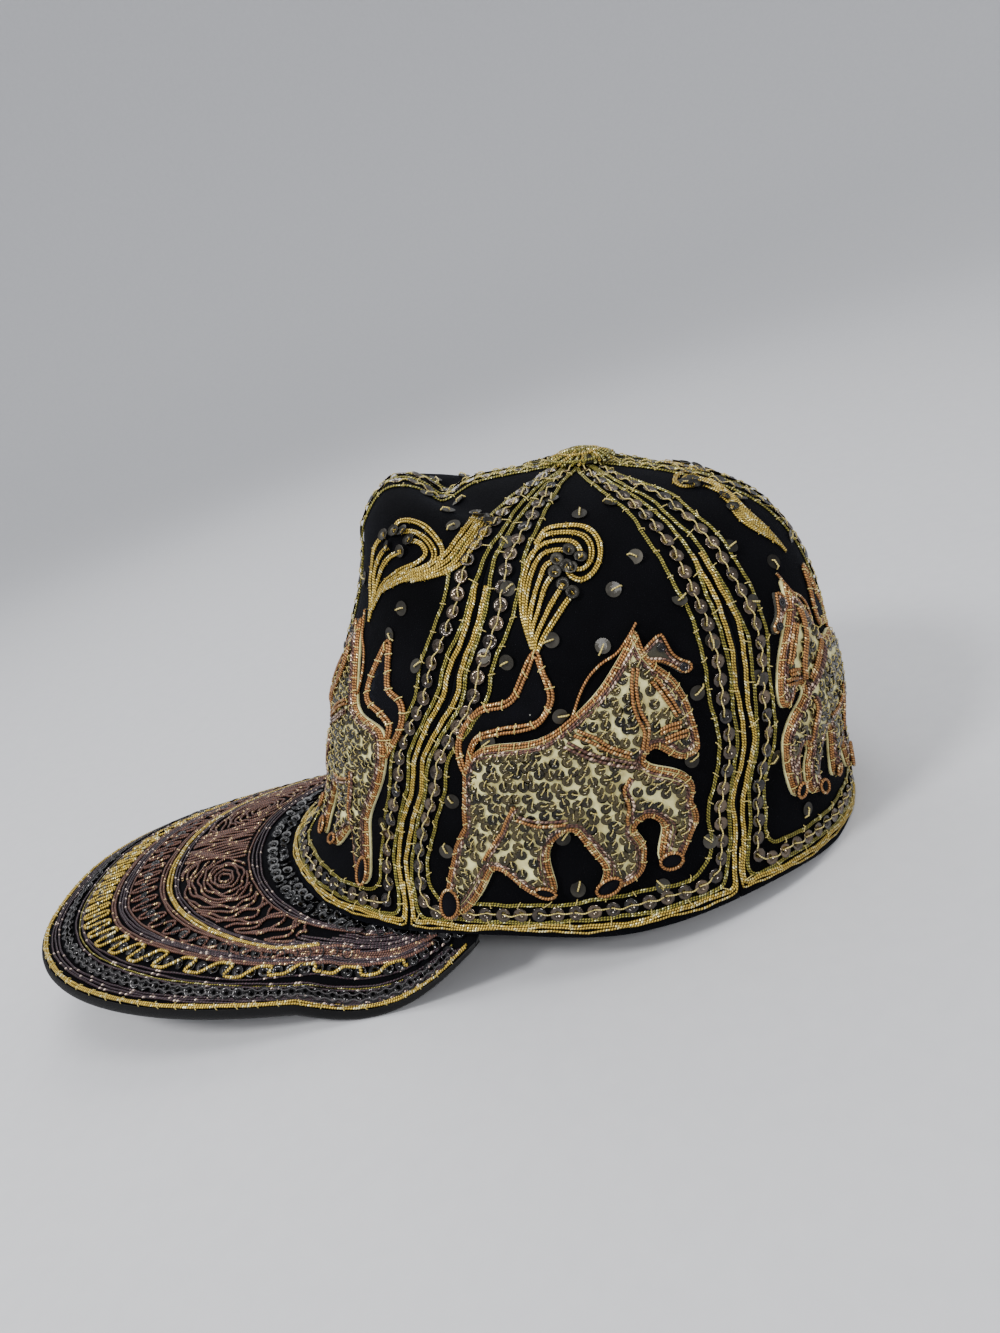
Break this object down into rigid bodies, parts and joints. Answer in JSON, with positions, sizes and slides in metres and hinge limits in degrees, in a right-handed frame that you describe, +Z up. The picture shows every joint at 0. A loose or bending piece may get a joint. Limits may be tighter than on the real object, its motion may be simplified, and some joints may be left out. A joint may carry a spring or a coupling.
{
  "type": "embroidered peaked cap",
  "caption": "Velvet cap with a curved peak, padded horse appliques, couched metal-cord seam bands and sequins; hollow below for the head.",
  "frame": {"origin": "centre of the bounding box, at the level of the surface that the cap rests on", "axes": "+Z up, the peak points to -Y, the wearer's left is +X"},
  "size_m": [0.1676, 0.3018, 0.1455],
  "materials": {
    "velvet": "deep black cotton velvet with a short matt pile and a cool sheen",
    "couching": "couched olive and gold metal-thread cords with gunmetal cup sequins",
    "gold_cord": "bright gold metal-thread cord, laid in pairs and tied down with cross stitches",
    "quilting": "padded cream cloth under dark bronze sequins, outlined in orange-copper and mauve cords",
    "peak_work": "black velvet densely couched in bronze, gold and dark purple cords",
    "peak_lining": "plain black cloth over the board, rolled up round its edge"
  },
  "bodies": {
    "root": {"panel_front_left": "velvet", "panel_front_right": "velvet", "panel_side_left": "velvet", "panel_side_right": "velvet", "panel_back_left": "velvet", "panel_back_right": "velvet", "seam_front": "couching", "seam_back": "couching", "seam_front_left": "couching", "seam_front_right": "couching", "seam_back_left": "couching", "seam_back_right": "couching", "rim_band_left": "couching", "rim_band_right": "couching", "crown_button": "couching", "horse_front_left": "quilting", "horse_front_right": "quilting", "horse_side_left": "quilting", "horse_side_right": "quilting", "horse_back_left": "quilting", "horse_back_right": "quilting", "plume_front_left": "gold_cord", "plume_front_right": "gold_cord", "plume_side_left": "gold_cord", "plume_side_right": "gold_cord", "plume_back_left": "gold_cord", "plume_back_right": "gold_cord", "peak_top": "peak_work", "peak_underside": "peak_lining", "peak_edge_cord": "gold_cord"}
  },
  "joints": []
}
